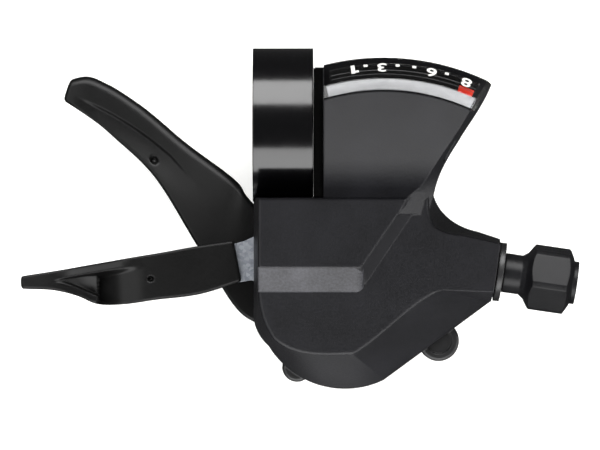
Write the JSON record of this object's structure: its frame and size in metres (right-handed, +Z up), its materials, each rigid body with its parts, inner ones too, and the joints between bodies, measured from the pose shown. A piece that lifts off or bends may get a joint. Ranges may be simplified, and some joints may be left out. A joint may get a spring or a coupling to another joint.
{
  "type": "trigger gear shifter",
  "caption": "Handlebar gear shifter with a thumb lever, a finger trigger, a dial window with a red pointer and a cable adjuster.",
  "frame": {"origin": "centre of the handlebar clamp's bore, midway along its width", "axes": "+X along the bar to the cable side, +Y towards the rider, +Z up, out of the cover"},
  "size_m": [0.1114, 0.0684, 0.0436],
  "materials": {
    "casting_paint": "gloss black paint on die-cast aluminium",
    "cover_plastic": "fine matt grain, moulded black nylon",
    "lever_plastic": "satin black glass-filled nylon",
    "adjuster_plastic": "satin black nylon",
    "lens": "clear moulded polycarbonate",
    "dial_black": "black printed strip",
    "needle_red": "red-orange acetal",
    "zinc_steel": "zinc plated steel sheet",
    "dark_steel": "black oxide steel",
    "spring_steel": "drawn spring wire",
    "spool_plastic": "natural acetal"
  },
  "bodies": {
    "base": {"bracket": "casting_paint", "clamp_bolt": "dark_steel", "upper_cover": "cover_plastic", "cover_screws": "dark_steel", "display_lens": "lens", "dial_strip": "dial_black", "indicator_pin": "zinc_steel", "main_axle": "zinc_steel", "axle_clip": "spring_steel", "lever_bush": "zinc_steel", "axle_washer": "zinc_steel", "axle_nut": "zinc_steel", "lever_spring": "spring_steel", "trigger_spring": "spring_steel", "trigger_pin": "zinc_steel", "pawl_pin": "zinc_steel"},
    "main_lever": {"lever_core": "zinc_steel", "thumb_lever": "lever_plastic", "feed_pin": "zinc_steel"},
    "feed_pawl_body": {"feed_pawl": "zinc_steel"},
    "trigger": {"trigger_core": "zinc_steel", "trigger_grip": "lever_plastic"},
    "hold_pawl_body": {"hold_pawl": "zinc_steel"},
    "spool": {"cable_spool": "spool_plastic", "ratchet_wheel": "zinc_steel"},
    "needle": {"indicator_needle": "needle_red"},
    "adjuster": {"cable_adjuster": "adjuster_plastic"}
  },
  "joints": [
    {"name": "main_lever_push", "type": "hinge", "parent": "base", "child": "main_lever", "pos_m": [0.0124, -0.0351, -0.0103], "axis": [0, 0, 1], "range_deg": [0, 40], "stiffness_Nm_per_rad": 0.15, "springref_deg": -11.46},
    {"name": "feed_pawl_drop", "type": "hinge", "parent": "main_lever", "child": "feed_pawl_body", "pos_m": [0.01056, -0.04817, -0.004], "axis": [0, 0, 1], "range_deg": [0, 6]},
    {"name": "trigger_pull", "type": "hinge", "parent": "base", "child": "trigger", "pos_m": [0.0005, -0.0195, -0.0015], "axis": [0, 0, 1], "range_deg": [-12, 0], "stiffness_Nm_per_rad": 0.1, "springref_deg": 11.46},
    {"name": "hold_pawl_lift", "type": "hinge", "parent": "base", "child": "hold_pawl_body", "pos_m": [0.0039, -0.025, -0.004], "axis": [0, 0, 1], "range_deg": [-18.1, 0]},
    {"name": "spool_turn", "type": "hinge", "parent": "base", "child": "spool", "pos_m": [0.0124, -0.0351, 0.0026], "axis": [0, 0, 1], "range_deg": [0, 116.9]},
    {"name": "needle_swing", "type": "hinge", "parent": "base", "child": "needle", "pos_m": [0.0199, -0.0351, 0.0064], "axis": [0, 0, 1], "range_deg": [0, 29.3]},
    {"name": "adjuster_turn", "type": "hinge", "parent": "base", "child": "adjuster", "pos_m": [0.04403, -0.02959, 0.0026], "axis": [0.9895, -0.1444, 0], "continuous": true}
  ],
  "couplings": [
    {"joint": "needle_swing", "follows": "spool_turn", "ratio": 0.25},
    {"joint": "hold_pawl_lift", "follows": "trigger_pull", "ratio": 1.5}
  ]
}
